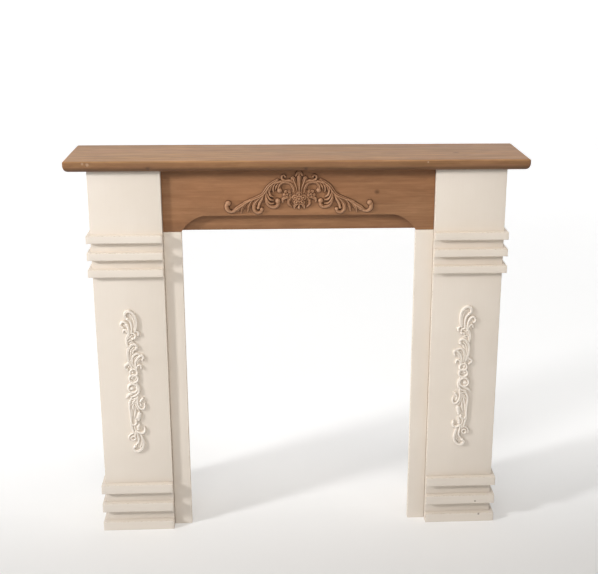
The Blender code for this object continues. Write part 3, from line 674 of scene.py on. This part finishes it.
def raise_band(field, u, v, stroke):
    """Lift the field to this band: its height inside it, and minus the distance to it outside.

    A narrow band has one groove along its middle, and a wide one has two.
    """
    centre = smooth_path(stroke["path"])
    run = np.append(0, np.cumsum(np.linalg.norm(np.diff(centre, axis=0), axis=1)))
    stations = np.linspace(0, run[-1], len(stroke["widths"]))
    half = np.interp(run, stations, stroke["widths"]) / 2
    rise = stroke["rise"] * (0.55 + 0.45 * half / half.max())
    place, width = WIDE_GROOVE if half.max() > WIDE_HALF else NARROW_GROOVE
    parts = [(centre, half, rise, stroke["vein"])]
    if stroke["bulb"]:
        parts.append((centre[-1:], np.array([stroke["bulb"]]), np.array([stroke["rise"] + 1]), 0))
    for line, radius, height, vein in parts:
        reach = radius.max() + 3 * FLANGE
        columns = (u[0] > line[:, 0].min() - reach) & (u[0] < line[:, 0].max() + reach)
        rows = (v[:, 0] > line[:, 1].min() - reach) & (v[:, 0] < line[:, 1].max() + reach)
        window = np.ix_(np.nonzero(rows)[0], np.nonzero(columns)[0])
        away = np.hypot(u[window][..., None] - line[:, 0], v[window][..., None] - line[:, 1])
        nearest = (away / radius).argmin(axis=-1)
        distance = np.take_along_axis(away, nearest[..., None], -1)[..., 0]
        share = distance / radius[nearest]
        groove = min(GROOVE * vein, GROOVE_DEEPEST) * np.exp(-((share - place) / width) ** 2)
        crown = np.clip(1 - share ** 2, 0, 1) ** 0.55 - groove
        lifted = np.where(share < 1, height[nearest] * crown, radius[nearest] - distance)
        field[window] = np.maximum(field[window], lifted)


def carved_mesh(name, strokes, half_size, centre, flip):
    """The carving as a closed mesh: a fine relief in front, a thin plate under it and a flat back.

    half_size is half the sheet's width and height, in millimetres. centre is the middle of its back in
    metres, and flip is -1 for a mirror image.
    """
    u, v = np.meshgrid(*(np.arange(-half, half, GRID) for half in half_size))
    field = np.full(u.shape, -3 * FLANGE)
    for stroke in strokes:
        raise_band(field, u, v, stroke)
    inside = field > -3 * FLANGE
    number = np.full(u.shape, -1)
    number[inside] = np.arange(inside.sum())
    squares = np.stack([number[:-1, :-1], number[:-1, 1:], number[1:, 1:], number[1:, :-1]], -1).reshape(-1, 4)
    squares = squares[(squares >= 0).all(axis=1)]
    sheet = bpy.data.meshes.new("sheet")
    sheet.from_pydata(np.column_stack([u[inside], -field[inside], v[inside]]).tolist(), [], squares.tolist())
    bm = bmesh.new()
    bm.from_mesh(sheet)
    everything = bm.verts[:] + bm.edges[:] + bm.faces[:]
    bmesh.ops.bisect_plane(bm, geom=everything, plane_co=(0, FLANGE, 0), plane_no=(0, 1, 0), clear_outer=True)
    bmesh.ops.remove_doubles(bm, verts=bm.verts[:], dist=WELD)
    bmesh.ops.delete(bm, geom=[vert for vert in bm.verts if not vert.link_faces], context="VERTS")
    for vert in bm.verts:
        uneven = 1 + UNEVENNESS * noise.noise(Vector((vert.co.x * 0.25, 0.0, vert.co.z * 0.25)))
        vert.co.y = min(vert.co.y, 0) * uneven - PLATE
    rim = [e for e in bm.edges if e.is_boundary]
    copy = bmesh.ops.duplicate(bm, geom=bm.verts[:] + bm.edges[:] + bm.faces[:])
    for item in copy["geom"]:
        if isinstance(item, bmesh.types.BMVert):
            item.co.y = 0
    for e in rim:
        a, b = e.verts
        bm.faces.new((a, b, copy["vert_map"][b], copy["vert_map"][a]))
    bm.verts.index_update()
    flat = np.array([vert.co for vert in bm.verts])
    faces = [tuple(vert.index for vert in f.verts) for f in bm.faces]
    bm.free()
    cavity = above_surroundings(np.maximum(field, 0))
    row = np.clip(np.rint((flat[:, 2] - v[0, 0]) / GRID).astype(int), 0, field.shape[0] - 1)
    column = np.clip(np.rint((flat[:, 0] - u[0, 0]) / GRID).astype(int), 0, field.shape[1] - 1)
    proud = cavity[row, column]
    places = flat * MILLIMETRE * (flip, 1, 1) + np.array(centre)
    # Each point's height above or below its surroundings drives a painted highlight on crests and painted shade
    # in hollows
    painted_highlight_and_shade = {"crest_painted_highlight": np.clip(proud / CAVITY, 0, 1), "hollow_painted_shade": np.clip(-proud / CAVITY, 0, 1)}
    return finished_mesh(name, places.tolist(), faces, painted_highlight_and_shade, 60)


def above_surroundings(relief):
    """How far each point of the relief stands above the mean of the CAVITY_REACH points on each side."""
    mean = relief
    for axis in (0, 1):
        padded = np.pad(mean, [(CAVITY_REACH, CAVITY_REACH) if k == axis else (0, 0) for k in (0, 1)])
        shifted = [np.roll(padded, step, axis) for step in range(-CAVITY_REACH, CAVITY_REACH + 1)]
        middle = [slice(CAVITY_REACH, -CAVITY_REACH) if k == axis else slice(None) for k in (0, 1)]
        mean = (sum(shifted) / len(shifted))[tuple(middle)]
    return relief - mean


def frieze_ornament(material):
    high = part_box("frieze_ornament")[1]
    half, middle = frieze_strokes()
    mirrored = [{**stroke, "path": [(-x, z) for x, z in stroke["path"]]} for stroke in half]
    level = (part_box("frieze_board")[0].z + ARCH_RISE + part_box("shelf")[0].z) / 2
    mesh = carved_mesh("frieze_ornament", half + mirrored + middle, FRIEZE_SHEET, (0, high.y, level), 1)
    dress("frieze_ornament", mesh, material)


def leg_ornament(side, material):
    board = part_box(side + "_face_board")
    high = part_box(side + "_leg_ornament")[1]
    level = (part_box(side + "_base_band_3_front")[1].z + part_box(side + "_upper_band_1_front")[0].z) / 2
    centre = ((board[0].x + board[1].x) / 2, high.y, level)
    mesh = carved_mesh(side + "_leg_ornament", leg_strokes(), LEG_SHEET, centre, 1 if side == "left" else -1)
    dress(side + "_leg_ornament", mesh, material)


def dress_everything():
    # The shelf's upright faces are painted darker than its top, as painted shade
    shelf_wood = timber("shelf_timber", SHELF_LIGHT, SHELF_DARK, knots=SHELF_KNOTS, gloss=0.46, upright=0.60,
                        nicks=PALE_NICKS, stains=DARK_STAINS, mottle=0.7)
    frieze_wood = timber("frieze_timber", FRIEZE_LIGHT, FRIEZE_DARK, knots=FRIEZE_KNOTS)
    upright = cream_paint("cream_upright", 2)
    level = cream_paint("cream_level", 0, FOOT_MARKS)
    dress("shelf", shelf_mesh(), shelf_wood)
    dress("frieze_board", frieze_mesh(), frieze_wood)
    dress("frieze_back_board", worn_bar("frieze_back_board"), frieze_wood)
    frieze_ornament(frieze_wood)
    for side in ("left", "right"):
        leg_ornament(side, upright)
    for name in sorted(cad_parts):
        if name.startswith(("left_", "right_")) and not name.endswith("_ornament"):
            dress(name, worn_bar(name), level if "band" in name else upright)


def stage():
    """A plain pale floor that sweeps up into a backdrop on every side."""
    profile = [(0.0, 0.0), (SWEEP_FROM, 0.0)]
    profile += [(SWEEP_FROM + SWEEP_ROUND * math.sin(t), SWEEP_ROUND * (1 - math.cos(t)))
                for t in (math.radians(90 * k / SWEEP_STEPS) for k in range(1, SWEEP_STEPS + 1))]
    profile += [(SWEEP_FROM + SWEEP_ROUND, BACKDROP_TOP)]
    bm = bmesh.new()
    line = [bm.verts.new((r, 0.0, z)) for r, z in profile]
    edges = [bm.edges.new(pair) for pair in zip(line, line[1:])]
    bmesh.ops.spin(bm, geom=line + edges, cent=(0, 0, 0), axis=(0, 0, 1), angle=math.radians(360),
                   steps=STAGE_STEPS)
    bmesh.ops.remove_doubles(bm, verts=bm.verts[:], dist=0.0001)
    mesh = bpy.data.meshes.new("studio_floor")
    bm.to_mesh(mesh)
    bm.free()
    mesh.shade_smooth()
    material, tree = new_material("studio_white")
    place = node(tree, "TexCoord").outputs["Object"]
    split = node(tree, "SeparateXYZ", {0: place}).outputs
    behind = node(tree, "MapRange", {"Value": split["Y"], "From Min": GLOW_FROM, "From Max": GLOW_TO,
                                     "To Min": GLOW_FRONT, "To Max": GLOW_BACK},
                  interpolation_type="SMOOTHSTEP").outputs[0]
    away = node(tree, "VectorMath", {0: place}, operation="LENGTH").outputs["Value"]
    around = node(tree, "MapRange", {"Value": away, "From Min": RIM_FROM, "From Max": SWEEP_FROM},
                  interpolation_type="SMOOTHSTEP").outputs[0]
    front = maths(tree, "MULTIPLY", around, remap(tree, split["Y"], RIM_FULL, RIM_GONE, 1.0, 0.0))
    low = remap(tree, split["Z"], RIM_TOP - RIM_FADE, RIM_TOP, GLOW_RIM, 0.0)
    glow = maths(tree, "MAXIMUM", behind, maths(tree, "MULTIPLY", front, low))
    tint = blended(tree, front, FLOOR, FLOOR_FAR)
    shader = node(tree, "BsdfPrincipled", {"Base Color": tint, "Roughness": 0.9, "Specular IOR Level": 0.1,
                                           "Emission Color": (1, 1, 1, 1), "Emission Strength": glow})
    node(tree, "OutputMaterial", {"Surface": shader.outputs[0]})
    mesh.materials.append(material)
    floor = bpy.data.objects.new("studio_floor", mesh)
    bpy.context.scene.collection.objects.link(floor)


def area_light(name, place, target, size, power, colour):
    lamp = bpy.data.lights.new(name, "AREA")
    lamp.shape = "DISK"
    lamp.size = size
    lamp.energy = power
    lamp.color = colour
    holder = bpy.data.objects.new(name, lamp)
    bpy.context.scene.collection.objects.link(holder)
    holder.location = place
    holder.rotation_euler = (Vector(target) - Vector(place)).to_track_quat("-Z", "Y").to_euler()


def light():
    """The lamps. The world gives no light, so the rest of it comes from the studio's glow."""
    for name, settings in LIGHTS.items():
        area_light(name, *settings)
    world = bpy.data.worlds.new("studio")
    world.use_nodes = True
    world.node_tree.nodes["Background"].inputs["Strength"].default_value = 0.0
    bpy.context.scene.world = world


def camera():
    lens = bpy.data.cameras.new("photo_view")
    lens.lens = CAMERA_LENS
    lens.sensor_width = CAMERA_SENSOR
    lens.shift_x = CAMERA_SHIFT
    eye = bpy.data.objects.new("photo_view", lens)
    bpy.context.scene.collection.objects.link(eye)
    tilt = Euler((math.radians(90) - CAMERA_DOWN, 0.0, CAMERA_YAW)).to_matrix().to_4x4()
    eye.matrix_world = Matrix.Translation(CAMERA_PLACE) @ tilt @ Matrix.Rotation(CAMERA_ROLL, 4, "Z")
    bpy.context.scene.camera = eye


dress_everything()
stage()
light()
camera()
bpy.context.scene.view_settings.view_transform = "Standard"
